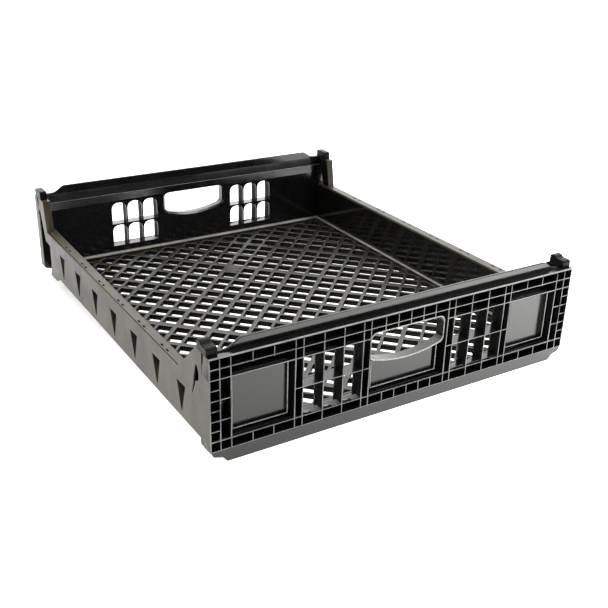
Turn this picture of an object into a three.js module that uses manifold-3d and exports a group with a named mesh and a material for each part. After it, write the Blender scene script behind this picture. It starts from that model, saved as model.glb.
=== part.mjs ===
// Vented plastic stacking tray for baked goods, moulded in black polypropylene.
// Millimetres, +Z up. X runs along the two tall end walls, Y from the front end wall to the
// rear one. The origin is the centre of the footprint, on the surface the tray stands on.
import * as THREE from 'three';
import { mergeGeometries, mergeVertices } from 'three/addons/utils/BufferGeometryUtils.js';
import Module from 'manifold-3d';

const wasm = await Module();
wasm.setup();

// ---------------------------------------------------------------- driving dimensions
const TRAY_WIDTH = 558.8;
const TRAY_LENGTH = 657;
const TRAY_HEIGHT = 152.4;
const HALF_WIDTH = TRAY_WIDTH / 2;
const HALF_LENGTH = TRAY_LENGTH / 2;
const GAP = 0.3;

// End wall: a web plate stiffened outside by a grid of ribs
const RIB = 2.2;
const ROW_PITCH = 13.4;
const BOTTOM_ROW_Z = 17.5;
const GRID_DEPTH = 16.2;
const WEB_OUTER = 16.5;
const WEB_INNER = 19;
const WEB_BOTTOM = 16.3;
const WEB_TOP = 112.2;
const WEB_HALF_WIDTH = 279.1;
const WEB_SPLIT = 50.8;
const BEAM_FOOT = WEB_TOP + GAP;
// Distances of the upright ribs from the middle of the wall, outermost first
const RIB_LINES = [278.3, 265.7, 251.8, 223.9, 196, 167.5, 156.8, 128.05, 99.7, 71.2, 60.5, 38.9, 19.6, 0];
const EDGE_LINE = RIB_LINES[0];
const FLANGE_BOTTOM = 136.9;
const FLANGE_TOP = 139.3;

// Hand-hold
const HOLD_HALF_WIDTH = 56.4;
const HOLD_TOP = 114.3;
const HOLD_SHOULDER = 79.4;
const HOLD_BOTTOM = 71.8;
const RIM = 2.4;
const RIM_OUTER = 3;

// Vent windows, three across and two high on each side of the hand-hold
const WINDOW_CENTRES = [142.4, 113.9, 85.45];
const WINDOW_WIDTH = 26.2;
const WINDOW_ARCH = 12.6;
const WINDOW_ROWS = [[32.4, 69.8], [72.4, 110]];

// Label frames and the plate under the hand-hold, with a raised panel in each
const LABEL_CENTRE = 209.7;
const LABEL_HALF_WIDTH = 38;
const LIP = 2;
const LIP_OUTER = 8.4;
const LIP_BOTTOM = 35;
const LABEL_TOP = 107;
const PLATE_HALF_WIDTH = 53;
const PLATE_TOP = 75;
const PANEL_OUTER = 12.4;

// Skirt that the tray stands on
const SKIRT_DEPTH = 8.5;
const SKIRT_TOP = 16;
const SKIRT_HALF_WIDTH = 278;
const SKIRT_FOOT_HALF_WIDTH = 257.4;

// Stacking ridge, and its outline from the top corner down to the corner cap
const RIDGE_OUTER = 9.6;
const RIDGE_INNER = 12.8;
const RIDGE_END = [
  [232.5, TRAY_HEIGHT], [236, 151.4], [246, 144.6], [249.5, 142.8], [255, 141.7], [263.5, 141.2],
];

// Floor lattice: bars crossing at right angles, at 45 degrees to the walls
const FLOOR_BOTTOM = 6.6;
const FLOOR_TOP = 15;
const FLOOR_HALF_WIDTH = 263.7;
const FLOOR_HALF_LENGTH = HALF_LENGTH - 19.3;
const FLOOR_BORDER = 5.7;
const LATTICE_STEP = 38.8;
const BACK_BAR_START = 0.5;
const FORWARD_BAR_START = 0.45;
const BACK_BAR_THIN = 3.6;
const BACK_BAR_THICK = 8.2;
const BACK_BAR_THICKEST = 10.4;
const FORWARD_BAR_THIN = 4;
const FORWARD_BAR_THICK = 6.4;
const SMALLEST_HOLE = 60;

// Beads that stiffen the foot of each wall
const BEAD_BOTTOM = 15.3;
const BEAD_TOP = 22.2;

// Hollow side walls
const SKIN_OUTER = 279.1;
const SKIN_INNER = 276.9;
const SKIN_BOTTOM = 24.4;
const SKIN_TOP = 89.3;
const INNER_WALL_OUTER = 266.3;
const INNER_WALL_INNER = 264;
const INNER_WALL_BOTTOM = 9;
const POST_INNER = 267;
const POST_WALL = 2.3;
const RAIL_BOTTOM = 86.5;
const RAIL_TOP = 89.8;
const RAIL_OUTER = 275.9;
const RAIL_INNER = 262.8;
const DART_PITCH = 75.45;
const DART_MIDDLE_Y = -24.1;
const DARTS = 7;
const DART_WIDTH = 24.6;
const DART_TOP = 71.7;
const DART_TIP = 33.8;
const SLOT_LENGTH = 7;
const SLOT_INNER = 271.5;
const SLOT_OUTER = 274.1;

// Corner caps
const FRONT_CAP_INNER = 265;
const REAR_CAP_INNER = 268;
const CAP_OUTER = 5;
const CAP_BOTTOM = 139.3;

// ---------------------------------------------------------------- materials
function plastic(color, roughness) {
  return new THREE.MeshStandardMaterial({ color, roughness, metalness: 0 });
}
const endPlastic = () => plastic('#1d1c1c', 0.42);
const sidePlastic = () => plastic('#2e2b28', 0.55);
const floorPlastic = () => plastic('#2b2926', 0.5);
const capPlastic = () => plastic('#121212', 0.32);

// ---------------------------------------------------------------- solids
function solidOf(geometry) {
  const bare = geometry.clone();
  bare.deleteAttribute('normal');
  bare.deleteAttribute('uv');
  const merged = mergeVertices(bare, 1e-4);
  return new wasm.Manifold(new wasm.Mesh({
    numProp: 3,
    vertProperties: new Float32Array(merged.attributes.position.array),
    triVerts: new Uint32Array(merged.index.array),
  }));
}

function geometryOf(solid) {
  const mesh = solid.getMesh();
  const geometry = new THREE.BufferGeometry();
  geometry.setAttribute('position', new THREE.BufferAttribute(new Float32Array(mesh.vertProperties), 3));
  geometry.setIndex(new THREE.BufferAttribute(new Uint32Array(mesh.triVerts), 1));
  return geometry;
}

function block(x0, x1, y0, y1, z0, z1) {
  const geometry = new THREE.BoxGeometry(x1 - x0, y1 - y0, z1 - z0);
  geometry.translate((x0 + x1) / 2, (y0 + y1) / 2, (z0 + z1) / 2);
  return geometry;
}

function shapeOf(points) {
  return new THREE.Shape(points.map(([u, v]) => new THREE.Vector2(u, v)));
}

function extrude(shape, depth, curveSegments = 6) {
  return new THREE.ExtrudeGeometry(shape, { depth, bevelEnabled: false, curveSegments });
}

// A shape drawn in (y, z) and swept along x
function sweepX(shape, x0, x1, curveSegments) {
  const geometry = extrude(shape, x1 - x0, curveSegments);
  const turn = new THREE.Matrix4().makeBasis(
    new THREE.Vector3(0, 1, 0),
    new THREE.Vector3(0, 0, 1),
    new THREE.Vector3(1, 0, 0),
  );
  geometry.applyMatrix4(turn);
  geometry.translate(x0, 0, 0);
  return geometry;
}

// A shape drawn in (x, z) and swept inward from the front wall's outer face
function sweepIn(shape, d0, d1, curveSegments) {
  const geometry = extrude(shape, d1 - d0, curveSegments);
  const turn = new THREE.Matrix4().makeBasis(
    new THREE.Vector3(1, 0, 0),
    new THREE.Vector3(0, 0, 1),
    new THREE.Vector3(0, -1, 0),
  );
  geometry.applyMatrix4(turn);
  geometry.translate(0, depthY(d1), 0);
  return geometry;
}

// y of a plane that lies d behind the front wall's outer face
function depthY(d) {
  return -HALF_LENGTH + d;
}

// The part of an end wall's solid that lies within x and z limits
function sectionOf(solid, x0, x1, z0, z1) {
  return solid.intersect(solidOf(block(x0, x1, depthY(-1), depthY(40), z0, z1)));
}

function union(geometries) {
  return geometries.map(solidOf).reduce((whole, piece) => whole.add(piece));
}

const rowZ = (row) => BOTTOM_ROW_Z + (9 - row) * ROW_PITCH;
const sides = [['left', -1], ['right', 1]];

// The x range of something between two distances from the middle, on one side
function rangeX(side, inner, outer) {
  return side > 0 ? [inner, outer] : [-outer, -inner];
}

// ---------------------------------------------------------------- assembly
const tray = new THREE.Group();
tray.name = 'stacking_bakery_tray';

function place(name, geometry, material) {
  const finished = geometry.index ? geometry.toNonIndexed() : geometry.clone();
  finished.computeVertexNormals();
  const mesh = new THREE.Mesh(finished, material);
  mesh.name = name;
  tray.add(mesh);
}

// The rear end wall is the front one turned half round, so left and right are as seen facing a wall
function placeAtBothEnds(name, geometry, material) {
  place(`front_${name}`, geometry, material());
  place(`rear_${name}`, geometry.clone().rotateZ(Math.PI), material());
}

// ---------------------------------------------------------------- end walls
function holdShape(grow) {
  const side = HOLD_HALF_WIDTH + grow;
  const top = HOLD_TOP + grow;
  const shoulder = HOLD_SHOULDER - grow;
  const bottom = HOLD_BOTTOM - grow;
  const corner = 9 + grow;
  const shoulderX = side - 7;
  const slope = 2 * (shoulder - bottom) / shoulderX;
  const shape = new THREE.Shape();
  shape.moveTo(-side + corner, top);
  shape.quadraticCurveTo(-side, top, -side, top - corner);
  shape.lineTo(-side, shoulder + 9);
  shape.quadraticCurveTo(-side, shoulder + slope * 7, -shoulderX, shoulder);
  shape.quadraticCurveTo(0, 2 * bottom - shoulder, shoulderX, shoulder);
  shape.quadraticCurveTo(side, shoulder + slope * 7, side, shoulder + 9);
  shape.lineTo(side, top - corner);
  shape.quadraticCurveTo(side, top, side - corner, top);
  shape.closePath();
  return shape;
}

function windowShape(centre, bottom, top) {
  const half = WINDOW_WIDTH / 2;
  const shape = new THREE.Shape();
  shape.moveTo(centre - half, bottom);
  shape.lineTo(centre + half, bottom);
  shape.lineTo(centre + half, top - WINDOW_ARCH);
  shape.quadraticCurveTo(centre + half, top, centre + half - WINDOW_ARCH, top);
  shape.lineTo(centre - half + WINDOW_ARCH, top);
  shape.quadraticCurveTo(centre - half, top, centre - half, top - WINDOW_ARCH);
  shape.closePath();
  return shape;
}

function makeWeb() {
  let web = solidOf(block(-WEB_HALF_WIDTH, WEB_HALF_WIDTH, depthY(WEB_OUTER), depthY(WEB_INNER),
    WEB_BOTTOM, WEB_TOP));
  // Raised panels that labels lie against, inside the lips
  const panel = (centre, halfWidth, top) => {
    const half = halfWidth - LIP - GAP;
    const low = LIP_BOTTOM + LIP + GAP;
    const back = depthY((WEB_OUTER + WEB_INNER) / 2);
    return solidOf(block(centre - half, centre + half, depthY(PANEL_OUTER), back, low, top));
  };
  const rimRoom = solidOf(sweepIn(holdShape(RIM + GAP), -1, GRID_DEPTH));
  web = web.add(panel(0, WEB_SPLIT, PLATE_TOP).subtract(rimRoom));
  for (const side of [-1, 1]) {
    web = web.add(panel(side * LABEL_CENTRE, LABEL_HALF_WIDTH, LABEL_TOP));
    for (const centre of WINDOW_CENTRES) {
      for (const [bottom, top] of WINDOW_ROWS) {
        const hole = windowShape(side * centre, bottom, top);
        web = web.subtract(solidOf(sweepIn(hole, WEB_OUTER - 1, WEB_INNER + 1, 5)));
      }
    }
  }
  web = web.subtract(solidOf(sweepIn(holdShape(0), WEB_OUTER - 1, WEB_INNER + 1)));
  // A middle section under the hand-hold and a wing on each side of it
  const middle = [-WEB_SPLIT + GAP / 2, WEB_SPLIT - GAP / 2];
  placeAtBothEnds('web_middle', geometryOf(sectionOf(web, ...middle, 0, TRAY_HEIGHT)), endPlastic);
  for (const [word, side] of sides) {
    const wing = sectionOf(web, ...rangeX(side, WEB_SPLIT + GAP / 2, HALF_WIDTH), 0, TRAY_HEIGHT);
    placeAtBothEnds(`web_${word}`, geometryOf(wing), endPlastic);
  }
}

// Outer face of the stepped wall above the web, from its foot up, as [depth, z]
const STEP_OUTER = [[16.3, BEAM_FOOT], [15.5, 113.3], [15, 118.9], [13, 119.7], [11.2, FLANGE_BOTTOM]];
const STEP_INNER = [[13.5, FLANGE_TOP], [15.5, 125.9], [16.7, 125.9], [18.2, BEAM_FOOT]];

function profileShape(points) {
  return shapeOf(points.map(([d, z]) => [depthY(d), z]));
}

function makeTopBeam() {
  const flange = block(-HALF_WIDTH, HALF_WIDTH, depthY(0), depthY(13.5), FLANGE_BOTTOM, FLANGE_TOP);
  const wall = sweepX(profileShape([...STEP_OUTER, ...STEP_INNER]), -WEB_HALF_WIDTH, WEB_HALF_WIDTH);
  const foot = [RIDGE_END.at(-1)[0], FLANGE_TOP - 1];
  const rightEnd = [...RIDGE_END, foot];
  const leftEnd = rightEnd.map(([x, z]) => [-x, z]).reverse();
  const ridge = sweepIn(shapeOf([...rightEnd, ...leftEnd]), RIDGE_OUTER, RIDGE_INNER);
  let beam = union([flange, wall, ridge]).subtract(solidOf(sweepIn(holdShape(0), 10, WEB_INNER + 1)));
  for (const [, side] of sides) {
    const capSeat = block(...rangeX(side, FRONT_CAP_INNER - GAP, HALF_WIDTH + 1),
      depthY(CAP_OUTER - GAP), depthY(WEB_INNER), CAP_BOTTOM - GAP, TRAY_HEIGHT);
    beam = beam.subtract(solidOf(capSeat));
  }
  placeAtBothEnds('top_beam', geometryOf(beam), endPlastic);
}

// The space that ribs leave clear for the stepped wall
function beamRoom() {
  return sweepX(profileShape([
    [STEP_OUTER[0][0] - GAP, BEAM_FOOT - GAP],
    ...STEP_OUTER.map(([d, z]) => [d - GAP, z]),
    [30, FLANGE_BOTTOM],
    [30, BEAM_FOOT - GAP],
  ]), -HALF_WIDTH - 1, HALF_WIDTH + 1);
}

// Sections of the grid round the label bays and the hand-hold, as [name, x0, x1, z0, z1]
function gridSections() {
  const sill = rowZ(8) + RIB / 2;
  const head = rowZ(2) - RIB / 2;
  const rimSide = HOLD_HALF_WIDTH + RIM + GAP;
  const sections = [
    ['ribs_bottom', -HALF_WIDTH, HALF_WIDTH, 0, sill],
    ['ribs_top_middle', GAP - rimSide, rimSide - GAP, BEAM_FOOT, TRAY_HEIGHT],
  ];
  for (const [word, side] of sides) {
    sections.push(
      [`ribs_top_${word}`, ...rangeX(side, rimSide, HALF_WIDTH), head, TRAY_HEIGHT],
      [`ribs_outer_${word}`, ...rangeX(side, RIB_LINES[2] - RIB, HALF_WIDTH), sill + GAP, head - GAP],
      [`ribs_inner_${word}`, ...rangeX(side, rimSide, RIB_LINES[5] + RIB), sill + GAP, head - GAP],
    );
  }
  return sections;
}

// Columns between rib lines, as [outer line, inner line]; every rib is given by where it starts and stops
function makeRibGrid() {
  const half = RIB / 2;
  const bottom = rowZ(9) - half;
  const top = FLANGE_BOTTOM - GAP;
  const pieces = [];
  const upright = (x, z0, z1) => {
    pieces.push(block(x - half, x + half, depthY(0), depthY(GRID_DEPTH), z0, z1));
  };
  const level = (x0, x1, row) => {
    const z = rowZ(row);
    pieces.push(block(x0, x1, depthY(0), depthY(GRID_DEPTH), z - half, z + half));
  };
  const shortLines = [3, 4, 11, 12];
  for (const side of [-1, 1]) {
    RIB_LINES.forEach((x, line) => {
      if (line === 13) return;
      if (shortLines.includes(line)) {
        upright(side * x, bottom, rowZ(8));
        upright(side * x, rowZ(line < 5 ? 1 : 2) - 2, top);
      } else {
        upright(side * x, bottom, top);
      }
    });
    const across = (outerLine, innerLine, row) => {
      const ends = [side * RIB_LINES[outerLine], side * RIB_LINES[innerLine]];
      level(Math.min(...ends), Math.max(...ends), row);
    };
    for (let row = 2; row <= 8; row += 1) across(0, 1, row);
    for (const row of [2, 4, 6]) across(1, 2, row);
    across(2, 10, 2);
    across(5, 10, 5);
  }
  upright(0, bottom, rowZ(8));
  upright(0, rowZ(2) - 2, top);
  for (const row of [1, 8, 9]) level(-EDGE_LINE - half, EDGE_LINE + half, row);
  const rimRoom = sweepIn(holdShape(RIM + GAP), -1, GRID_DEPTH + 1);
  const grid = union(pieces).subtract(solidOf(beamRoom())).subtract(solidOf(rimRoom));
  for (const [name, ...limits] of gridSections()) {
    placeAtBothEnds(name, geometryOf(sectionOf(grid, ...limits)), endPlastic);
  }
}

function makeHoldRim() {
  const outer = solidOf(sweepIn(holdShape(RIM), RIM_OUTER, GRID_DEPTH));
  const inner = solidOf(sweepIn(holdShape(0), -1, GRID_DEPTH + 1));
  placeAtBothEnds('handhold_rim', geometryOf(outer.subtract(inner).subtract(solidOf(beamRoom()))), endPlastic);
}

// A U-shaped lip standing off the web, open at the top
function lipShape(centre, halfWidth, top) {
  return shapeOf([
    [centre - halfWidth, LIP_BOTTOM],
    [centre + halfWidth, LIP_BOTTOM],
    [centre + halfWidth, top],
    [centre + halfWidth - LIP, top],
    [centre + halfWidth - LIP, LIP_BOTTOM + LIP],
    [centre - halfWidth + LIP, LIP_BOTTOM + LIP],
    [centre - halfWidth + LIP, top],
    [centre - halfWidth, top],
  ]);
}

function makeLips() {
  for (const [word, side] of sides) {
    const lip = lipShape(side * LABEL_CENTRE, LABEL_HALF_WIDTH, LABEL_TOP);
    placeAtBothEnds(`label_lip_${word}`, sweepIn(lip, LIP_OUTER, GRID_DEPTH), endPlastic);
  }
  const plate = lipShape(0, PLATE_HALF_WIDTH, PLATE_TOP);
  placeAtBothEnds('plate_lip', sweepIn(plate, LIP_OUTER, GRID_DEPTH), endPlastic);
}

// The skirt is cored out from below, leaving thin walls and a solid pad in the middle
function makeSkirt() {
  const wall = 2.2;
  const roof = 2.4;
  const pad = 12;
  const pockets = 9;
  const last = SKIRT_FOOT_HALF_WIDTH - 3;
  const pitch = (last - pad) / pockets;
  let skirt = solidOf(sweepIn(shapeOf([
    [-SKIRT_FOOT_HALF_WIDTH, 0],
    [SKIRT_FOOT_HALF_WIDTH, 0],
    [SKIRT_FOOT_HALF_WIDTH + 6, 7],
    [SKIRT_HALF_WIDTH - 2.5, 10.5],
    [SKIRT_HALF_WIDTH, SKIRT_TOP],
    [-SKIRT_HALF_WIDTH, SKIRT_TOP],
    [-SKIRT_HALF_WIDTH + 2.5, 10.5],
    [-SKIRT_FOOT_HALF_WIDTH - 6, 7],
  ]), 0, SKIRT_DEPTH));
  for (const side of [-1, 1]) {
    for (let pocket = 0; pocket < pockets; pocket += 1) {
      const near = pad + pocket * pitch + wall;
      const far = pad + (pocket + 1) * pitch;
      const ends = [side * near, side * far].sort((a, b) => a - b);
      const core = block(ends[0], ends[1], depthY(wall), depthY(SKIRT_DEPTH - wall), -1, SKIRT_TOP - roof);
      skirt = skirt.subtract(solidOf(core));
    }
  }
  placeAtBothEnds('skirt', geometryOf(skirt), endPlastic);
}

// ---------------------------------------------------------------- floor
// Keeps the part of a convex polygon on the low side of one axis limit
function clip(points, axis, limit, keepBelow) {
  const inside = (p) => (keepBelow ? p[axis] <= limit : p[axis] >= limit);
  const kept = [];
  points.forEach((p, i) => {
    const q = points[(i + 1) % points.length];
    if (inside(p)) kept.push(p);
    if (inside(p) !== inside(q)) {
      const share = (limit - p[axis]) / (q[axis] - p[axis]);
      kept.push([p[0] + share * (q[0] - p[0]), p[1] + share * (q[1] - p[1])]);
    }
  });
  return kept;
}

function areaOf(points) {
  return Math.abs(points.reduce((sum, p, i) => {
    const q = points[(i + 1) % points.length];
    return sum + p[0] * q[1] - q[0] * p[1];
  }, 0)) / 2;
}

// Bars running down to the right lie at constant x + y, bars running up to the right at constant x - y.
// A bar's half width, measured along either sum, is its width over the square root of two.
function backBar(index) {
  const fromMiddle = index < 0 ? -1 - index : index;
  let width = fromMiddle % 2 === 0 ? BACK_BAR_THICK : BACK_BAR_THIN;
  if (fromMiddle > 0 && fromMiddle % 4 === 0) width = BACK_BAR_THICKEST;
  return { at: (index + BACK_BAR_START) * LATTICE_STEP, half: width / Math.SQRT2 };
}

function forwardBar(index) {
  const width = index % 2 === 0 ? FORWARD_BAR_THIN : FORWARD_BAR_THICK;
  return { at: (index + FORWARD_BAR_START) * LATTICE_STEP, half: width / Math.SQRT2 };
}

function makeFloor() {
  const limitX = FLOOR_HALF_WIDTH - FLOOR_BORDER;
  const limitY = FLOOR_HALF_LENGTH - FLOOR_BORDER;
  const holes = [];
  for (let i = -17; i < 17; i += 1) {
    for (let j = -17; j < 17; j += 1) {
      const sums = [backBar(i).at + backBar(i).half, backBar(i + 1).at - backBar(i + 1).half];
      const [near, far] = [forwardBar(j), forwardBar(j + 1)];
      const differences = [near.at + near.half, far.at - far.half];
      let hole = [[0, 0], [1, 0], [1, 1], [0, 1]].map(([a, b]) => [
        (sums[a] + differences[b]) / 2,
        (sums[a] - differences[b]) / 2,
      ]);
      hole = clip(hole, 0, limitX, true);
      hole = clip(hole, 0, -limitX, false);
      hole = clip(hole, 1, limitY, true);
      hole = clip(hole, 1, -limitY, false);
      if (hole.length > 2 && areaOf(hole) > SMALLEST_HOLE) {
        holes.push(extrude(shapeOf(hole), FLOOR_TOP - FLOOR_BOTTOM + 2));
      }
    }
  }
  const cutter = mergeGeometries(holes).translate(0, 0, FLOOR_BOTTOM - 1);
  const plate = block(-FLOOR_HALF_WIDTH, FLOOR_HALF_WIDTH, -FLOOR_HALF_LENGTH, FLOOR_HALF_LENGTH,
    FLOOR_BOTTOM, FLOOR_TOP);
  place('floor_lattice', geometryOf(solidOf(plate).subtract(solidOf(cutter))), floorPlastic());
}

// ---------------------------------------------------------------- side walls
function dartPoints(y) {
  return [[y - DART_WIDTH / 2, DART_TOP], [y - 1, DART_TIP], [y + 1, DART_TIP], [y + DART_WIDTH / 2, DART_TOP]];
}

function makeSkin(word, side) {
  const plate = sweepX(shapeOf([
    [depthY(19.3), SKIN_BOTTOM],
    [-depthY(57.5), SKIN_BOTTOM],
    [-depthY(61), 40],
    [-depthY(62.1), 69.4],
    [-depthY(40.4), 71.4],
    [-depthY(34.2), SKIN_TOP],
    [depthY(19.3), SKIN_TOP],
  ]), ...rangeX(side, SKIN_INNER, SKIN_OUTER));
  const outlines = [
    [[depthY(37.5), SKIN_TOP + 1], [depthY(45), 75], [depthY(46.2), 75], [depthY(42), SKIN_TOP + 1]],
  ];
  for (let dart = 0; dart < DARTS; dart += 1) {
    outlines.push(dartPoints(DART_MIDDLE_Y + (dart - (DARTS - 1) / 2) * DART_PITCH));
  }
  const through = rangeX(side, SKIN_INNER - 1, SKIN_OUTER + 1);
  const cutter = mergeGeometries(outlines.map((points) => sweepX(shapeOf(points), ...through)));
  place(`${word}_side_skin`, geometryOf(solidOf(plate).subtract(solidOf(cutter))), sidePlastic());
}

function makeInnerWall(word, side) {
  const shape = profileShape([
    [19.3, INNER_WALL_BOTTOM],
    [TRAY_LENGTH - 19.3, INNER_WALL_BOTTOM],
    [TRAY_LENGTH - 19.3, RAIL_BOTTOM - GAP],
    [19.3, RAIL_BOTTOM - GAP],
  ]);
  const range = rangeX(side, INNER_WALL_INNER, INNER_WALL_OUTER);
  place(`${word}_inner_wall`, sweepX(shape, ...range), sidePlastic());
}

// The rail caps the inner wall and has a pair of drain slots beside each dart
function makeRail(word, side) {
  let rail = solidOf(block(...rangeX(side, RAIL_INNER, RAIL_OUTER), depthY(19.3), -depthY(19.3),
    RAIL_BOTTOM, RAIL_TOP));
  for (let dart = 0; dart < DARTS; dart += 1) {
    const y = DART_MIDDLE_Y + (dart - (DARTS - 1) / 2) * DART_PITCH - 15;
    for (const middle of [y - 8.3, y + 8.3]) {
      const ends = [middle - SLOT_LENGTH / 2, middle + SLOT_LENGTH / 2];
      const slot = block(...rangeX(side, SLOT_INNER, SLOT_OUTER), ...ends, RAIL_BOTTOM - 1, RAIL_TOP + 1);
      rail = rail.subtract(solidOf(slot));
    }
  }
  place(`${word}_side_rail`, geometryOf(rail), sidePlastic());
}

// Two plates joined by a sloping back, a front and a roof, open underneath
function hollowPost(side, outline, core) {
  const body = solidOf(sweepX(profileShape(outline), ...rangeX(side, POST_INNER, SKIN_OUTER)));
  const hollow = solidOf(sweepX(profileShape(core), ...rangeX(side, POST_INNER + POST_WALL, SKIN_INNER)));
  const overRail = solidOf(block(...rangeX(side, POST_INNER - 1, SKIN_INNER), depthY(0), -depthY(0),
    0, RAIL_TOP + GAP));
  return body.subtract(hollow).subtract(overRail);
}

function makeFrontPost(word, side) {
  const post = hollowPost(side, [
    [19.3, 89.6], [88.5, 89.6], [77.5, 100], [60.9, 114.2], [49, 126.2], [36, 138], [34.6, 139], [19.3, 139],
  ], [
    [21.7, 80], [86, 80], [85.4, 89.2], [75.8, 98.3], [59.2, 112.5], [47.3, 124.5], [34.4, 136.2], [33.8, 136.6],
    [21.7, 136.6],
  ]);
  const hole = solidOf(sweepX(profileShape([
    [35.2, 117], [30.8, 117], [27.4, 111], [27, 100.5], [36.5, 94.5], [37.5, 88], [42, 88], [41, 97.8],
  ]), ...rangeX(side, SKIN_INNER - 1, SKIN_OUTER + 1)));
  place(`front_${word}_corner_post`, geometryOf(post.subtract(hole)), sidePlastic());
}

function makeRearPost(word, side) {
  const fromRear = (points) => points.map(([d, z]) => [TRAY_LENGTH - d, z]);
  const post = hollowPost(side, fromRear([
    [34.2, 89.6], [53, 89.6], [44, 139], [19.5, 139], [19.5, 120], [24.7, 116.8],
  ]), fromRear([
    [37, 80], [52.4, 80], [50.6, 89.4], [41.9, 136.6], [21.9, 136.6], [21.9, 121], [26.7, 118],
  ]));
  place(`rear_${word}_corner_post`, geometryOf(post), sidePlastic());
}

// Caps that guide the tray stacked above: a rounded hump, with a lower step in front at the front corners
function makeCaps(word, side) {
  const front = profileShape([
    [CAP_OUTER, CAP_BOTTOM], [31, CAP_BOTTOM], [31, 149.4], [30, 151.6], [28, TRAY_HEIGHT], [23, TRAY_HEIGHT],
    [20.6, 151.2], [19.2, 149.4], [8, 149.4], [5.9, 148.4], [CAP_OUTER, 146.6],
  ]);
  const rear = profileShape([
    [CAP_OUTER, CAP_BOTTOM], [34, CAP_BOTTOM], [34, 149], [33, 151.3], [30.6, TRAY_HEIGHT], [8.4, TRAY_HEIGHT],
    [6, 151.3], [CAP_OUTER, 149],
  ].map(([d, z]) => [TRAY_LENGTH - d, z]));
  place(`front_${word}_cap`, sweepX(front, ...rangeX(side, FRONT_CAP_INNER, HALF_WIDTH)), capPlastic());
  place(`rear_${word}_cap`, sweepX(rear, ...rangeX(side, REAR_CAP_INNER, HALF_WIDTH)), capPlastic());
}

// The side wall's lower edge steps down at both ends
function makeFeet(word, side) {
  const range = rangeX(side, SKIN_INNER, SKIN_OUTER);
  const front = profileShape([[19.3, 16.4], [25.6, 16.4], [25.6, SKIN_BOTTOM - GAP], [19.3, SKIN_BOTTOM - GAP]]);
  const rear = profileShape([
    [56, 15.7], [85, 15.7], [104.5, SKIN_BOTTOM - GAP], [57.4, SKIN_BOTTOM - GAP],
  ].map(([d, z]) => [TRAY_LENGTH - d, z]));
  place(`front_${word}_foot`, sweepX(front, ...range), sidePlastic());
  place(`rear_${word}_foot`, sweepX(rear, ...range), sidePlastic());
}

// ---------------------------------------------------------------- beads at the foot of the walls
function makeBeads() {
  const endBead = profileShape([[19.3, BEAD_BOTTOM], [25, BEAD_BOTTOM], [25, BEAD_TOP - 1.6], [23.4, BEAD_TOP],
    [19.3, BEAD_TOP]]);
  placeAtBothEnds('base_bead', sweepX(endBead, -FLOOR_HALF_WIDTH, FLOOR_HALF_WIDTH), floorPlastic);
  for (const [word, side] of sides) {
    const [x0, x1] = rangeX(side, FLOOR_HALF_WIDTH - FLOOR_BORDER, FLOOR_HALF_WIDTH);
    const bead = block(x0, x1, depthY(25 + GAP), -depthY(25 + GAP), BEAD_BOTTOM, BEAD_TOP);
    place(`${word}_base_bead`, bead, floorPlastic());
  }
}

makeFloor();
makeBeads();
makeWeb();
makeTopBeam();
makeRibGrid();
makeHoldRim();
makeLips();
makeSkirt();
for (const [word, side] of sides) {
  makeSkin(word, side);
  makeInnerWall(word, side);
  makeRail(word, side);
  makeFrontPost(word, side);
  makeRearPost(word, side);
  makeCaps(word, side);
  makeFeet(word, side);
}

export default tray;
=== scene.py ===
"""A vented black plastic stacking tray for baked goods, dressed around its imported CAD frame."""

import math

import bmesh
import bpy
from mathutils import Matrix, Vector


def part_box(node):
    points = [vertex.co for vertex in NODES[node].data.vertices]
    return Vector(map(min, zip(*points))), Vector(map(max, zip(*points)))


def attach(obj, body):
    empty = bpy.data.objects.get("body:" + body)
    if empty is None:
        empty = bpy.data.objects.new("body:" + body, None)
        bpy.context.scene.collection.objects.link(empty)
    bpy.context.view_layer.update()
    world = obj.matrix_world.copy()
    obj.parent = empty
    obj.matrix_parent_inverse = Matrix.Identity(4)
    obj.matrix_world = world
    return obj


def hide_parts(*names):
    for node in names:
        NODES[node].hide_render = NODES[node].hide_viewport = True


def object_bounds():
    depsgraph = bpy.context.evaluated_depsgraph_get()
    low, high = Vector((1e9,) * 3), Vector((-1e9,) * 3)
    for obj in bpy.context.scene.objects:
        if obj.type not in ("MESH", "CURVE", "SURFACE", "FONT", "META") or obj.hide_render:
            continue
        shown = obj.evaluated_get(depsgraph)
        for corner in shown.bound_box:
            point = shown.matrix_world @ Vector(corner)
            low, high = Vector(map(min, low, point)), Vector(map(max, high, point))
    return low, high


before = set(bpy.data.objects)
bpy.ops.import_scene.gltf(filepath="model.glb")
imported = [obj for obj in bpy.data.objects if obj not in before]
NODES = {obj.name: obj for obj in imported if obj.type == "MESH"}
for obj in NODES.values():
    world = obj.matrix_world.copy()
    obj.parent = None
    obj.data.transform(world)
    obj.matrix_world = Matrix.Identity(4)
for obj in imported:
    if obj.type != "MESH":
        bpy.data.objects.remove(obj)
CAD_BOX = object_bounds()
ENDS = ("front", "rear")
HANDS = ("left", "right")

# ---------------------------------------------------------------- camera, light and floor

CAMERA_PLACE = (-0.6462, -1.1112, 0.6037)
CAMERA_DIRECTION = (0.4806, 0.7711, -0.4177)
CAMERA_ROLL = math.radians(1.47)
CAMERA_LENS = 53.0
REAR_SKY = (0.45, 0.75, 0.48)
FRONT_SKY = (-0.08, -0.95, 0.30)
STUDIO_WHITE = (1.0, 0.995, 0.985, 1)
TABLE_HALF = 12.0
TABLE_DROP = 0.0005
# Centre, reach and falloff of the painted pool of light: emission on the table, not a lamp.
POOL_CENTRE = (0.42, -0.62, 0)
POOL_RADIUS = 1.1
POOL_FALLOFF = 1.8


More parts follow.
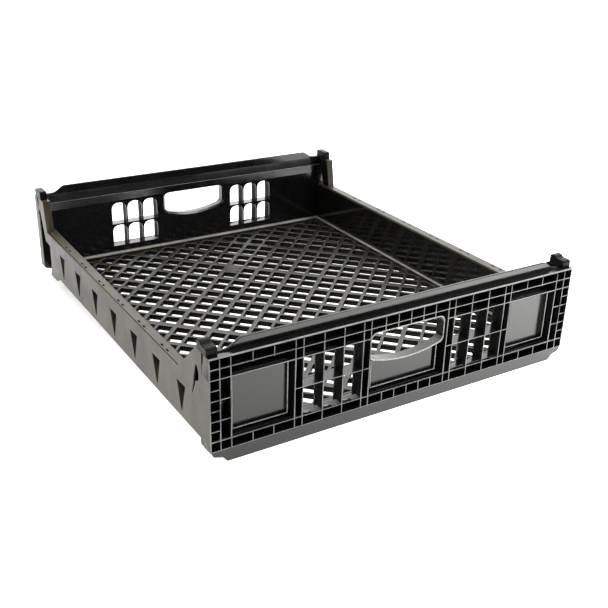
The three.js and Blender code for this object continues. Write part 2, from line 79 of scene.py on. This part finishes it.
def add_camera():
    """The viewing angle: from the left of the front wall, looking down over it."""
    data = bpy.data.cameras.new("camera")
    data.sensor_width = 36.0
    data.lens = CAMERA_LENS
    camera = bpy.data.objects.new("camera", data)
    forward = Vector(CAMERA_DIRECTION).normalized()
    right = forward.cross(Vector((0, 0, 1))).normalized()
    up = right.cross(forward)
    across = right * math.cos(CAMERA_ROLL) + up * math.sin(CAMERA_ROLL)
    above = up * math.cos(CAMERA_ROLL) - right * math.sin(CAMERA_ROLL)
    turn = Matrix((across, above, -forward)).transposed().to_4x4()
    camera.matrix_world = Matrix.Translation(CAMERA_PLACE) @ turn
    bpy.context.scene.collection.objects.link(camera)
    bpy.context.scene.camera = camera


def add_world(even, rear, shade):
    """White light all round, brighter behind the rear wall and dim low in front of the front wall."""
    bpy.context.scene.view_settings.view_transform = "Standard"
    world = bpy.data.worlds.new("studio")
    world.use_nodes = True
    tree = world.node_tree
    background = tree.nodes["Background"]
    background.inputs["Color"].default_value = STUDIO_WHITE
    direction = tree.nodes.new("ShaderNodeTexCoord").outputs["Generated"]

    def lobe(toward, start, full, low, high):
        facing = tree.nodes.new("ShaderNodeVectorMath")
        facing.operation = "DOT_PRODUCT"
        facing.inputs[1].default_value = Vector(toward).normalized()
        tree.links.new(direction, facing.inputs[0])
        fade = tree.nodes.new("ShaderNodeMapRange")
        fade.interpolation_type = "SMOOTHSTEP"
        for socket, value in (("From Min", start), ("From Max", full), ("To Min", low), ("To Max", high)):
            fade.inputs[socket].default_value = value
        tree.links.new(facing.outputs["Value"], fade.inputs["Value"])
        return fade.outputs["Result"]

    strength = tree.nodes.new("ShaderNodeMath")
    strength.operation = "MULTIPLY"
    tree.links.new(lobe(REAR_SKY, 0.25, 0.85, even, rear), strength.inputs[0])
    tree.links.new(lobe(FRONT_SKY, 0.58, 0.86, 1.0, shade), strength.inputs[1])
    tree.links.new(strength.outputs["Value"], background.inputs["Strength"])
    bpy.context.scene.world = world


def add_softbox(toward, distance, size, radiance):
    """A square soft light that far from the tray, aimed at it."""
    data = bpy.data.lights.new("softbox", "AREA")
    data.size = size
    data.energy = radiance * math.pi * size * size
    light = bpy.data.objects.new("softbox", data)
    away = Vector(toward).normalized()
    light.location = away * distance
    light.rotation_euler = away.to_track_quat("Z", "Y").to_euler()
    bpy.context.scene.collection.objects.link(light)


def add_floor(glow, pool):
    """A pale lit table, wide enough to fill the view, with a painted pool of light at the front right:
    emission that grows towards the pool's centre.
    """
    mesh = bpy.data.meshes.new("table")
    corners = [(x * TABLE_HALF, y * TABLE_HALF, 0) for x, y in ((-1, -1), (1, -1), (1, 1), (-1, 1))]
    mesh.from_pydata(corners, [], [(0, 1, 2, 3)])
    table = bpy.data.objects.new("table", mesh)
    table.location.z = -TABLE_DROP
    bpy.context.scene.collection.objects.link(table)
    g = Graph("table_white")
    g.shader.inputs["Base Color"].default_value = (0.86, 0.86, 0.85, 1)
    g.shader.inputs["Roughness"].default_value = 0.9
    g.shader.inputs["Emission Color"].default_value = STUDIO_WHITE
    apart = g.add("ShaderNodeVectorMath", operation="DISTANCE")
    apart.inputs[1].default_value = POOL_CENTRE
    g.link(g.place, apart.inputs[0])
    # The painted pool of light: emission that brightens towards POOL_CENTRE, added to the table's even glow.
    near = g.remap(apart.outputs["Value"], POOL_RADIUS, 0.0)
    lit = g.math("MULTIPLY", g.math("POWER", near, POOL_FALLOFF), pool)
    g.link(g.math("ADD", lit, glow), g.shader.inputs["Emission Strength"])
    mesh.materials.append(g.material)


# ---------------------------------------------------------------- materials


class Graph:
    """Short names for making and joining shader nodes."""

    def __init__(self, name):
        self.material = bpy.data.materials.new(name)
        self.material.use_nodes = True
        self.tree = self.material.node_tree
        self.shader = self.tree.nodes["Principled BSDF"]
        self.place = self.add("ShaderNodeTexCoord").outputs["Object"]

    def add(self, kind, **settings):
        node = self.tree.nodes.new(kind)
        for key, value in settings.items():
            setattr(node, key, value)
        return node

    def link(self, source, target):
        self.tree.links.new(source, target)

    def noise(self, scale, detail=3.0, rough=0.55, stretch=None):
        place = self.place
        if stretch:
            mapping = self.add("ShaderNodeMapping")
            mapping.inputs["Scale"].default_value = stretch
            self.link(place, mapping.inputs["Vector"])
            place = mapping.outputs["Vector"]
        node = self.add("ShaderNodeTexNoise")
        node.inputs["Scale"].default_value = scale
        node.inputs["Detail"].default_value = detail
        node.inputs["Roughness"].default_value = rough
        self.link(place, node.inputs["Vector"])
        return node.outputs["Fac"]

    def remap(self, value, low, high, to_low=0.0, to_high=1.0):
        node = self.add("ShaderNodeMapRange")
        node.inputs["From Min"].default_value = low
        node.inputs["From Max"].default_value = high
        node.inputs["To Min"].default_value = to_low
        node.inputs["To Max"].default_value = to_high
        self.link(value, node.inputs["Value"])
        return node.outputs["Result"]

    def math(self, operation, a, b):
        node = self.add("ShaderNodeMath", operation=operation)
        for value, target in zip((a, b), node.inputs):
            if isinstance(value, (int, float)):
                target.default_value = value
            else:
                self.link(value, target)
        return node.outputs["Value"]

    def mix(self, share, a, b):
        node = self.add("ShaderNodeMix", data_type="RGBA")
        self.link(share, node.inputs["Factor"])
        for value, target in zip((a, b), (node.inputs["A"], node.inputs["B"])):
            if isinstance(value, tuple):
                target.default_value = (*value, 1)
            else:
                self.link(value, target)
        return node.outputs["Result"]

    def bump(self, height, strength, distance):
        node = self.add("ShaderNodeBump")
        node.inputs["Strength"].default_value = strength
        node.inputs["Distance"].default_value = distance
        self.link(height, node.inputs["Height"])
        return node.outputs["Normal"]


def plastic(name, colour, bloom, roughness, dust=0.3, grain=0.12, specular=0.5, streak=None):
    """Moulded polypropylene: fine grain, flow marks, scuffs, patchy dust, and a paler bloom on faces that
    point up.
    """
    g = Graph(name)
    clouds = g.noise(9.0, 4.0)
    flecks = g.noise(260.0, 2.0)
    scuffs = g.noise(38.0, 5.0, 0.7, (1.0, 0.22, 1.0))
    cross_scuffs = g.noise(45.0, 5.0, 0.7, (0.2, 1.0, 1.0))
    normal = g.add("ShaderNodeNewGeometry").outputs["Normal"]
    split = g.add("ShaderNodeSeparateXYZ")
    g.link(normal, split.inputs["Vector"])
    upward = g.remap(split.outputs["Z"], 0.55, 0.98)
    marks = g.math("MAXIMUM", g.remap(scuffs, 0.62, 0.78), g.remap(cross_scuffs, 0.63, 0.79))
    # Faces that point up are made paler, in cloudy patches.
    upward_bloom = g.math("MULTIPLY", upward, g.remap(clouds, 0.3, 0.7, 0.45, 1.0))
    haze = g.math("MULTIPLY", g.remap(clouds, 0.42, 0.72), 0.35)
    haze = g.math("MAXIMUM", haze, upward_bloom)
    if streak:
        run = g.noise(60.0, 4.0, 0.6, streak)
        haze = g.math("MAXIMUM", haze, g.remap(run, 0.45, 0.75))
    haze = g.math("MULTIPLY", haze, dust)
    haze = g.math("ADD", haze, g.math("MULTIPLY", marks, dust * 0.35))
    darker = tuple(c * 0.8 for c in colour)
    lighter = tuple(c * 1.25 for c in colour)
    shade = g.mix(g.remap(flecks, 0.35, 0.65), darker, lighter)
    g.link(g.mix(haze, shade, bloom), g.shader.inputs["Base Color"])
    rough = g.remap(g.noise(22.0, 5.0, 0.65), 0.3, 0.7, roughness - 0.06, roughness + 0.07)
    rough = g.math("ADD", rough, g.math("MULTIPLY", haze, 0.35))
    g.link(rough, g.shader.inputs["Roughness"])
    g.shader.inputs["IOR"].default_value = 1.5
    g.shader.inputs["Specular IOR Level"].default_value = specular
    texture = g.noise(1500.0, 2.0, 0.6)
    flow = g.noise(70.0, 2.0)
    height = g.math("ADD", g.math("MULTIPLY", texture, 0.5), g.math("MULTIPLY", flow, 1.2))
    height = g.math("ADD", height, g.math("MULTIPLY", marks, -0.25))
    g.link(g.bump(height, grain, 0.0006), g.shader.inputs["Normal"])
    return g.material


def worn_and_highlit(name, colour, roughness):
    """Plastic rubbed pale along an edge, in uneven patches; the pale colour also stands in for painted
    highlights along the edge.
    """
    g = Graph(name)
    patches = g.noise(30.0, 5.0, 0.7)
    fine = g.noise(420.0, 3.0, 0.6)
    rub_and_highlight = g.math("MULTIPLY", g.remap(patches, 0.32, 0.62, 0.45, 1.0), g.remap(fine, 0.3, 0.65, 0.6, 1.1))
    g.link(g.mix(rub_and_highlight, (0.012, 0.012, 0.012), colour), g.shader.inputs["Base Color"])
    g.link(g.remap(fine, 0.3, 0.7, roughness - 0.05, roughness + 0.1), g.shader.inputs["Roughness"])
    g.shader.inputs["IOR"].default_value = 1.5
    g.link(g.bump(fine, 0.15, 0.0004), g.shader.inputs["Normal"])
    return g.material


DUST = (0.20, 0.185, 0.165)
WARM_DUST = (0.30, 0.255, 0.17)
LOOKS = {
    "end_wall": plastic("end_wall_black", (0.0032, 0.0031, 0.0032), DUST, 0.14, dust=0.02, grain=0.08),
    # The outer side's base colour is painted lighter and warmer than the other walls, standing in for the
    # light on the lit outer side; its streaks are dust.
    "outer_side": plastic(
        "outer_side_painted_lit_black", (0.017, 0.0145, 0.0095), WARM_DUST, 0.36, dust=0.10, specular=0.3,
        streak=(1.0, 1.0, 0.07),
    ),
    "inner_side": plastic(
        "inner_side_black", (0.0030, 0.0030, 0.0028), DUST, 0.08, dust=0.018, grain=0.05,
        streak=(1.0, 1.0, 0.09),
    ),
    "floor": plastic("floor_black", (0.0048, 0.0042, 0.0033), WARM_DUST, 0.34, dust=0.06, specular=0.34),
    "cap": plastic("cap_black", (0.0022, 0.0023, 0.0021), DUST, 0.28, dust=0.006, grain=0.9, specular=0.07),
    # Painted shade: a darker, duller copy of the plastic for faces that sit in shade.
    "hollow": plastic("hollow_black", (0.0022, 0.0021, 0.0020), DUST, 0.6, dust=0.01, specular=0.08),
}
# Pale edge colours: rubbed wear that also stands in for painted highlights along edges.
EDGES = {
    "end_wall": worn_and_highlit("end_wall_edge", (0.17, 0.169, 0.166), 0.40),
    # Pale lip colour, mostly a painted highlight; also used for the beam's ledges and drip edges.
    "lip": worn_and_highlit("lip_edge_painted_highlight", (0.34, 0.335, 0.325), 0.38),
    "outer_side": worn_and_highlit("outer_side_edge", (0.11, 0.098, 0.075), 0.45),
    "inner_side": worn_and_highlit("inner_side_edge", (0.10, 0.099, 0.095), 0.35),
    "floor": worn_and_highlit("floor_edge", (0.15, 0.136, 0.112), 0.42),
    "bead": worn_and_highlit("bead_edge_painted_highlight", (0.31, 0.30, 0.28), 0.35),
    "cap": worn_and_highlit("cap_edge", (0.02, 0.02, 0.019), 0.5),
}

# ---------------------------------------------------------------- surfaces worked up from the frame

MM = 0.001
SEAM = 0.3 * MM
# Places in every piece's list of materials: own colour; pale edges, rubbed and partly painted highlight;
# painted shade; the outer side's colour, painted lighter for the lit side; the pale lip colour, a painted
# highlight
FACE, RUBBED_AND_HIGHLIT, PAINTED_SHADE, OUTSIDE, PAINTED_HIGHLIGHT = range(5)
OUTER_Y = CAD_BOX[1][1]
OUTER_X = CAD_BOX[1][0]
# Where the side walls, rails and beads stop short of the end walls, and where they run on to meet them
WALL_END = 19.3 * MM
REAR_POST_END = 19.5 * MM
WALL_MET = 18.8 * MM
BEAD_MET = 18.7 * MM
# Ribs and lips reach from their free edge to the plate: this depth parts the one from the other
MID_DEPTH = 9 * MM
PLATE_OVERLAP = 0.6 * MM


def depth(point):
    """Distance inward from the outer face of the nearer end wall."""
    return OUTER_Y - abs(point.y)


def take(node, whole=True):
    """A welded copy of one frame solid, with its flat faces made whole again where they are simple ones."""
    bm = bmesh.new()
    bm.from_mesh(NODES[node].data)
    bmesh.ops.remove_doubles(bm, verts=bm.verts, dist=2e-6)
    if whole:
        tidy(bm)
    return bm


def tidy(bm):
    bmesh.ops.dissolve_limit(
        bm, angle_limit=math.radians(0.8), use_dissolve_boundaries=False, verts=bm.verts, edges=bm.edges
    )


def move_depth(bm, at, to, slack=0.05 * MM):
    """Moves whatever stands at one depth to another, towards or away from the wall's outer face."""
    for vert in bm.verts:
        if abs(depth(vert.co) - at) < slack:
            vert.co.y += math.copysign(at - to, vert.co.y)


def move_height(bm, at, to, slack=0.05 * MM):
    for vert in bm.verts:
        if abs(vert.co.z - at) < slack:
            vert.co.z = to


def side_normal(vert):
    """Where the walls around a vertex face, seen square on to the end wall."""
    seen = []
    for face in vert.link_faces:
        flat = Vector((face.normal.x, 0, face.normal.z))
        if abs(face.normal.y) > 0.5 or flat.length < 0.5:
            continue
        flat.normalize()
        for known in seen:
            if known.dot(flat) > 0.5:
                break
        else:
            seen.append(flat)
    return sum(seen, Vector())


def draft(bm, at, amount, only=lambda point: True):
    """Thins or widens the section at one depth, as moulding draft does."""
    moves = []
    for vert in bm.verts:
        if abs(depth(vert.co) - at) < 0.05 * MM and only(vert.co):
            moves.append((vert, side_normal(vert) * amount))
    limit = OUTER_X - 0.05 * MM
    for vert, move in moves:
        if abs(vert.co.x) > limit:
            move.x = 0
        vert.co -= move


def bevel(bm, offset, segments, test=None, lowest=28.0):
    """Rounds the edges that pass the test, and returns the new faces."""
    chosen = []
    for edge in bm.edges:
        if len(edge.link_faces) != 2:
            continue
        if edge.calc_face_angle(0) > math.radians(lowest) and (test is None or test(edge)):
            chosen.append(edge)
    done = bmesh.ops.bevel(
        bm, geom=chosen, offset=offset, segments=segments, profile=0.5, affect="EDGES", clamp_overlap=True
    )
    return done["faces"]


def sink_back(bm):
    """Carries the backs of ribs or lips into the plate behind them."""
    for vert in bm.verts:
        if depth(vert.co) > MID_DEPTH:
            vert.co.y += math.copysign(PLATE_OVERLAP, -vert.co.y)


def convex(edge):
    return edge.is_convex


def mark(faces, index=RUBBED_AND_HIGHLIT):
    for face in faces:
        face.material_index = index


def add_piece(name, bm, look, *nodes, edge=None):
    """Makes the finished object, and hides the frame solids it stands for."""
    mesh = bpy.data.meshes.new(name)
    bmesh.ops.dissolve_degenerate(bm, dist=1e-6, edges=bm.edges)
    bm.normal_update()
    bm.to_mesh(mesh)
    bm.free()
    for material in (LOOKS[look], EDGES[edge or look], LOOKS["hollow"], LOOKS["outer_side"], EDGES["lip"]):
        mesh.materials.append(material)
    for face in mesh.polygons:
        face.use_smooth = True
    mesh.set_sharp_from_angle(angle=math.radians(38))
    piece = bpy.data.objects.new(name, mesh)
    bpy.context.scene.collection.objects.link(piece)
    weighted = piece.modifiers.new("face_weighted_normals", "WEIGHTED_NORMAL")
    weighted.keep_sharp = True
    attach(piece, "root")
    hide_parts(*nodes)
    return piece


def joined(parts):
    """One closed surface from several that overlap."""
    objects = []
    for bm in parts:
        mesh = bpy.data.meshes.new("joining")
        bm.to_mesh(mesh)
        bm.free()
        made = bpy.data.objects.new("joining", mesh)
        bpy.context.scene.collection.objects.link(made)
        objects.append(made)
    whole = objects[0]
    for other in objects[1:]:
        union = whole.modifiers.new("union", "BOOLEAN")
        union.operation = "UNION"
        union.solver = "MANIFOLD"
        union.object = other
    result = whole.evaluated_get(bpy.context.evaluated_depsgraph_get()).to_mesh()
    bm = bmesh.new()
    bm.from_mesh(result)
    whole.to_mesh_clear()
    for made in objects:
        mesh = made.data
        bpy.data.objects.remove(made)
        bpy.data.meshes.remove(mesh)
    bmesh.ops.remove_doubles(bm, verts=bm.verts, dist=2e-6)
    bmesh.ops.triangulate(bm, faces=bm.faces)
    bmesh.ops.dissolve_degenerate(bm, dist=2e-6, edges=bm.edges)
    return bm


# ---------------------------------------------------------------- end walls


def at_front(face):
    return abs(face.normal.y) > 0.9 and depth(face.calc_center_median()) < 0.2 * MM


def on_outside(face):
    """Whether a face of an end wall is part of the tray's long outer side."""
    return abs(face.normal.x) > 0.9 and abs(face.calc_center_median().x) > OUTER_X - 1 * MM


def shift(bm, axis, at, to, slack=0.05 * MM):
    """Moves the faces at one distance from the middle plane of an axis, on both sides of it."""
    for vert in bm.verts:
        if abs(abs(vert.co[axis]) - at) < slack:
            vert.co[axis] = math.copysign(to, vert.co[axis])


SECTIONS = ["ribs_bottom", "ribs_top_middle"]
SECTIONS += [f"ribs_{row}_{hand}" for row in ("top", "outer", "inner") for hand in HANDS]


def build_rib_grid(end):
    """Ribs that thin towards their free edge, rubbed pale along it and partly in painted highlight, with
    painted shade on their sides, in one unbroken grid.
    """
    names = [f"{end}_{section}" for section in SECTIONS]
    parts = []
    sill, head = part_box(names[0])[1][2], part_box(f"{end}_ribs_top_left")[0][2]
    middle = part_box(f"{end}_ribs_top_middle")[1][0]
    for name in names:
        bm = take(name, whole=False)
        low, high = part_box(name)
        if low[2] > sill and high[2] < head:
            move_height(bm, low[2], sill - SEAM)
            move_height(bm, high[2], head + SEAM)
        if "top_middle" in name:
            shift(bm, 0, middle, middle + 2 * SEAM)
        parts.append(bm)
    bm = joined(parts)
    draft(bm, 0.0, 0.55 * MM)
    sink_back(bm)
    top = max(vert.co.z for vert in bm.verts)
    move_height(bm, top, top + 0.5 * MM)
    # Side faces of the ribs take the painted shade, darkening the cells.
    mark([face for face in bm.faces if abs(face.normal.x) > 0.7], PAINTED_SHADE)
    # Faces on the long outer side take the outer side's colour, painted lighter for the lit side.
    mark([face for face in bm.faces if on_outside(face)], OUTSIDE)
    # Front faces and their rounded edges take the pale edge colour: rubbed, and partly a painted highlight.
    mark([face for face in bm.faces if at_front(face)])
    mark(bevel(bm, 0.2 * MM, 2, lambda edge: any(at_front(face) for face in edge.link_faces)))
    add_piece(f"{end}_ribs", bm, "end_wall", *names)


def build_lips(end):
    for name in ("plate_lip", "label_lip_left", "label_lip_right", "handhold_rim"):
        node = f"{end}_{name}"
        bm = take(node)
        outer = min(depth(vert.co) for vert in bm.verts)
        draft(bm, outer, 0.3 * MM)
        sink_back(bm)

        def outermost(face):
            return abs(face.normal.y) > 0.9 and depth(face.calc_center_median()) < outer + 0.2 * MM

        # The lip's outer face and rounded edges take the pale lip colour: a painted highlight along the lip.
        mark([face for face in bm.faces if outermost(face)])
        mark(bevel(bm, 0.5 * MM, 3, lambda edge: any(outermost(face) for face in edge.link_faces)))
        add_piece(f"{end}_{name}_moulding", bm, "end_wall", node, edge="lip")


def in_hold(point):
    return abs(point.x) < 62 * MM and 68 * MM < point.z < 117 * MM


def build_web(end):
    """The plate and its raised panels, with rolled window edges and a flared hand-hold."""
    names = [f"{end}_web_{section}" for section in ("middle", *HANDS)]
    parts = [take(name, whole=False) for name in names]
    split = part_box(names[0])[1][0]
    shift(parts[0], 0, split, split + 2 * SEAM)
    bm = joined(parts)
    top = max(vert.co.z for vert in bm.verts)
    move_height(bm, top, top + 0.5 * MM)
    for at, amount in ((19.0 * MM, 3.2 * MM), (16.5 * MM, 0.6 * MM)):
        draft(bm, at, amount, in_hold)
    rounded = bevel(bm, 0.75 * MM, 3, convex)
    # Rounded top edges take the pale edge colour: rubbed, and partly a painted highlight.
    mark([face for face in rounded if face.calc_center_median().z > top])
    # Faces on the long outer side take the outer side's colour, painted lighter for the lit side.
    mark([face for face in bm.faces if on_outside(face)], OUTSIDE)
    add_piece(f"{end}_plate", bm, "end_wall", *names)


def build_top_beam(end):
    """Flange, stepped wall and ridge, with soft corners, rubbed pale edges, and ledges and drip edges in
    painted highlight.
    """
    node = f"{end}_top_beam"
    bm = take(node)
    flange = 139.4 * MM

    def ridge_top(edge):
        return edge.is_convex and min(v.co.z for v in edge.verts) > flange

    def is_ledge(face):
        at = face.calc_center_median()
        return face.normal.z > 0.7 and at.z < flange and depth(at) > 12.6 * MM

    def is_drip(face):
        at = face.calc_center_median()
        return face.normal.z < -0.5 and 118 * MM < at.z < 120.5 * MM

    bevel(bm, 1.3 * MM, 3, ridge_top, 20.0)
    mark(bevel(bm, 0.6 * MM, 2, lambda edge: edge.is_convex and max(v.co.z for v in edge.verts) < flange))
    # Faces on the long outer side take the outer side's colour, painted lighter for the lit side.
    mark([face for face in bm.faces if on_outside(face)], OUTSIDE)
    # The outer front faces take the pale edge colour: rubbed, and partly a painted highlight.
    mark([face for face in bm.faces if at_front(face)])
    # Ledge tops are painted pale as lit lines, and the drip's underside as a painted reflection of the table.
    mark([face for face in bm.faces if is_ledge(face) or is_drip(face)], PAINTED_HIGHLIGHT)
    add_piece(f"{end}_beam", bm, "end_wall", node)


def build_skirt(end):
    node = f"{end}_skirt"
    bm = take(node)
    move_height(bm, 16 * MM, 16.6 * MM)
    # Rounded lower edges take the pale edge colour: rubbed, and partly a painted highlight.
    mark(bevel(bm, 0.6 * MM, 2, lambda edge: edge.is_convex and min(v.co.z for v in edge.verts) < 15 * MM))
    add_piece(f"{end}_foot_skirt", bm, "end_wall", node)


# ---------------------------------------------------------------- side walls


def build_side_shell(hand):
    """Outer skin, corner posts and the stepped ends of its lower edge as one unbroken sheet."""
    names = [f"{hand}_side_skin"]
    names += [f"{end}_{hand}_corner_post" for end in ENDS] + [f"{end}_{hand}_foot" for end in ENDS]
    parts = []
    for name in names:
        bm = take(name, whole=False)
        move_depth(bm, WALL_END, WALL_MET)
        move_depth(bm, REAR_POST_END, WALL_MET)
        if name.endswith("post"):
            for vert in bm.verts:
                if vert.co.z < 90.3 * MM:
                    vert.co.z -= 0.5 * MM
        if name.endswith("foot"):
            move_height(bm, 24.1 * MM, 24.6 * MM)
        parts.append(bm)
    bm = joined(parts)
    outward = 1 if hand == "right" else -1
    rail_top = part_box(f"{hand}_side_rail")[1][2]

    def is_post_inside(face):
        return face.normal.x * outward < -0.7 and face.calc_center_median().z > rail_top

    # The posts' inward faces above the rail take the painted shade.
    mark([face for face in bm.faces if is_post_inside(face)], PAINTED_SHADE)
    # Convex edges take the pale edge colour: rubbed, and partly a painted highlight.
    mark(bevel(bm, 0.5 * MM, 2, convex))
    # The shell takes the outer side's colour, painted lighter for the lit side.
    add_piece(f"{hand}_outer_shell", bm, "outer_side", *names)


def build_inner_wall(hand):
    node = f"{hand}_inner_wall"
    bm = take(node)
    move_height(bm, 86.2 * MM, 86.8 * MM)
    move_depth(bm, WALL_END, WALL_MET)
    outward = 1 if hand == "right" else -1
    # Faces turned outward, seen through the darts, take the painted shade.
    mark([face for face in bm.faces if face.normal.x * outward > 0.5], PAINTED_SHADE)
    add_piece(f"{hand}_inner_plate", bm, "inner_side", node)


def build_rail(hand):
    """The rail rolls over into the inner wall."""
    node = f"{hand}_side_rail"
    bm = take(node)
    move_depth(bm, WALL_END, WALL_MET)
    inner = min(abs(vert.co.x) for vert in bm.verts)
    top = max(vert.co.z for vert in bm.verts)

    def rolled(edge):
        return all(abs(v.co.z - top) < 1e-5 and abs(abs(v.co.x) - inner) < 1e-5 for v in edge.verts)

    bevel(bm, 2.6 * MM, 5, rolled)
    # The rail's top edges take the pale edge colour: rubbed, and partly a painted highlight.
    mark(bevel(bm, 0.4 * MM, 2, lambda edge: edge.is_convex and min(v.co.z for v in edge.verts) > top - 1e-5))
    # The rail takes the outer side's colour, painted lighter for the lit side.
    add_piece(f"{hand}_top_rail", bm, "outer_side", node)


# ---------------------------------------------------------------- floor and corners


def add_disc(bm, middle, radius, low, high, sides=40):
    """A short round boss with closed ends."""
    bmesh.ops.create_cone(
        bm, cap_ends=True, segments=sides, radius1=radius, radius2=radius, depth=high - low,
        matrix=Matrix.Translation((*middle, (low + high) / 2)),
    )


def build_floor():
    """Bars with softened tops rubbed pale and partly in painted highlight, flanks in painted shade, and the
    moulding's round gate pad.
    """
    bm = take("floor_lattice", whole=False)
    low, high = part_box("floor_lattice")
    top = high[2]

    def upper(edge):
        return edge.is_convex and all(abs(v.co.z - top) < 1e-5 for v in edge.verts)

    # The bars' flanks take the painted shade.
    mark([face for face in bm.faces if abs(face.normal.z) < 0.3], PAINTED_SHADE)
    # Top edges take the pale edge colour: rubbed, and partly a painted highlight.
    mark(bevel(bm, 0.55 * MM, 2, upper))
    add_disc(bm, (-2.8 * MM, 154.9 * MM), 12.5 * MM, low[2] + 1 * MM, top + 0.15 * MM)
    add_piece("floor_bars", bm, "floor", "floor_lattice")


def build_beads():
    """Rounded beads where the walls meet the floor, their rounded tops in painted highlight."""
    for name in (*ENDS, *HANDS):
        node = f"{name}_base_bead"
        bm = take(node)
        move_depth(bm, WALL_END, BEAD_MET)
        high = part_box(node)[1][2]
        rounded = bevel(bm, 1.9 * MM, 4, lambda edge: max(v.co.z for v in edge.verts) > high - 2 * MM, 25.0)
        # The rounded top and every face that points up take the pale bead colour: a painted highlight along
        # the bead.
        mark(rounded)
        mark([face for face in bm.faces if face.normal.z > 0.5])
        add_piece(f"{name}_bead", bm, "floor", node, edge="bead")


def build_caps():
    for end in ENDS:
        for hand in HANDS:
            node = f"{end}_{hand}_cap"
            bm = take(node)
            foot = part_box(node)[0][2]
            move_height(bm, foot, foot - 0.6 * MM)
            bevel(bm, 1.3 * MM, 3, convex)
            add_piece(f"{end}_{hand}_corner_cap", bm, "cap", node)


add_camera()
add_world(1.5, 2.9, 0.2)
add_softbox((0.48, -0.40, 0.75), 2.2, 0.9, 9.0)
add_floor(0.45, 4.2)
for END in ENDS:
    build_rib_grid(END)
    build_lips(END)
    build_web(END)
    build_top_beam(END)
    build_skirt(END)
for HAND in HANDS:
    build_side_shell(HAND)
    build_inner_wall(HAND)
    build_rail(HAND)
build_floor()
build_beads()
build_caps()
